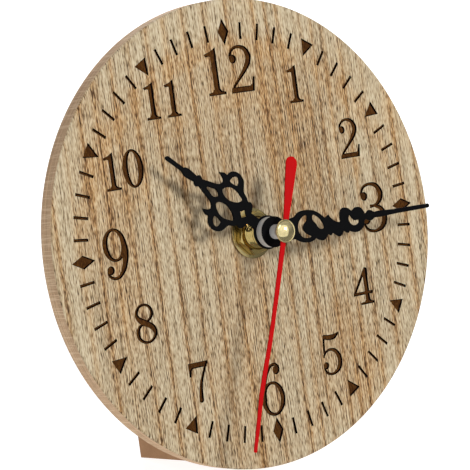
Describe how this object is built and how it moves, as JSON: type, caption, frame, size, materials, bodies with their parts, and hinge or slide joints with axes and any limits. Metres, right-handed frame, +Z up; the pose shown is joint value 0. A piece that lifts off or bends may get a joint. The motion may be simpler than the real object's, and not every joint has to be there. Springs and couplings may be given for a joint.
{
  "type": "wooden clock",
  "caption": "Round wooden clock with an engraved dial, pierced black hands on a brass post and a battery quartz movement, leaning back on a block foot.",
  "frame": {"origin": "on the table under the middle of the clock's box: the dial board's lower rim and the foot's rear edge stand at height zero", "axes": "+Z up, +X to three o'clock, +Y from the viewer towards the back; the dial faces -Y and leans back about 13 degrees"},
  "size_m": [0.12, 0.0534, 0.118],
  "materials": {
    "dial_wood": "printed pale oak face with brown streaks and flecks, satin",
    "fibreboard": "brown fibreboard, matt",
    "brass": "polished brass",
    "black_metal": "satin black lacquer",
    "red_metal": "satin red lacquer",
    "aluminium": "satin",
    "steel": "bright",
    "nickel": "nickel plated",
    "rubber": "matt",
    "black_plastic": "moulded, finely grained",
    "acetal": "natural white",
    "copper": "enamelled copper wire",
    "magnet": "dark sintered",
    "circuit": "green solder mask",
    "chip_resin": "black potting resin",
    "cell_sleeve": "plain printed sleeve, glossy"
  },
  "bodies": {
    "clock_frame": {"dial_board": "dial_wood", "stand_foot": "fibreboard", "clamp_washer": "brass", "hex_nut": "brass", "threaded_post": "brass", "rubber_gasket": "rubber", "movement_case": "black_plastic", "rear_cover": "black_plastic", "train_bridge": "acetal", "stator_plate": "steel", "coil_core": "steel", "motor_coil": "copper", "circuit_board": "circuit", "clock_chip": "chip_resin", "quartz_crystal": "steel", "battery_cell": "cell_sleeve", "battery_contact_positive": "nickel", "battery_contact_negative": "nickel"},
    "seconds": {"second_hand": "red_metal", "second_hand_boss": "brass", "second_hand_cap": "brass", "second_arbor": "steel", "second_wheel": "acetal"},
    "minutes": {"minute_hand": "black_metal", "minute_hand_collar": "aluminium", "minute_cannon": "acetal", "centre_wheel": "acetal"},
    "hours": {"hour_hand": "black_metal", "hour_hand_collar": "aluminium", "hour_wheel": "acetal"},
    "motion_work": {"motion_wheel": "acetal", "setting_knob": "black_plastic"},
    "third": {"third_wheel": "acetal"},
    "intermediate": {"intermediate_wheel": "acetal"},
    "rotor": {"rotor_pinion": "acetal", "rotor_magnet": "magnet"}
  },
  "joints": [
    {"name": "second_hand_turn", "type": "hinge", "parent": "clock_frame", "child": "seconds", "pos_m": [0, -0.00115, 0.05957], "axis": [0, 0.974, -0.2263], "continuous": true},
    {"name": "minute_hand_turn", "type": "hinge", "parent": "clock_frame", "child": "minutes", "pos_m": [0, -0.00115, 0.05957], "axis": [0, 0.974, -0.2263], "continuous": true},
    {"name": "hour_hand_turn", "type": "hinge", "parent": "clock_frame", "child": "hours", "pos_m": [0, -0.00115, 0.05957], "axis": [0, 0.974, -0.2263], "continuous": true},
    {"name": "setting_knob_turn", "type": "hinge", "parent": "clock_frame", "child": "motion_work", "pos_m": [0.00873, -0.00001, 0.06448], "axis": [0, 0.974, -0.2263], "continuous": true},
    {"name": "third_wheel_turn", "type": "hinge", "parent": "clock_frame", "child": "third", "pos_m": [-0.0017, 0.00102, 0.06894], "axis": [0, 0.974, -0.2263], "continuous": true},
    {"name": "intermediate_wheel_turn", "type": "hinge", "parent": "clock_frame", "child": "intermediate", "pos_m": [-0.00993, -0.00076, 0.06128], "axis": [0, 0.974, -0.2263], "continuous": true},
    {"name": "rotor_turn", "type": "hinge", "parent": "clock_frame", "child": "rotor", "pos_m": [-0.01714, 0.00019, 0.06534], "axis": [0, 0.974, -0.2263], "continuous": true}
  ],
  "couplings": [
    {"joint": "minute_hand_turn", "follows": "second_hand_turn", "ratio": 0.016667},
    {"joint": "hour_hand_turn", "follows": "second_hand_turn", "ratio": 0.0013889},
    {"joint": "setting_knob_turn", "follows": "second_hand_turn", "ratio": -0.0055556},
    {"joint": "third_wheel_turn", "follows": "second_hand_turn", "ratio": -0.13333},
    {"joint": "intermediate_wheel_turn", "follows": "second_hand_turn", "ratio": -5},
    {"joint": "rotor_turn", "follows": "second_hand_turn", "ratio": 30}
  ]
}
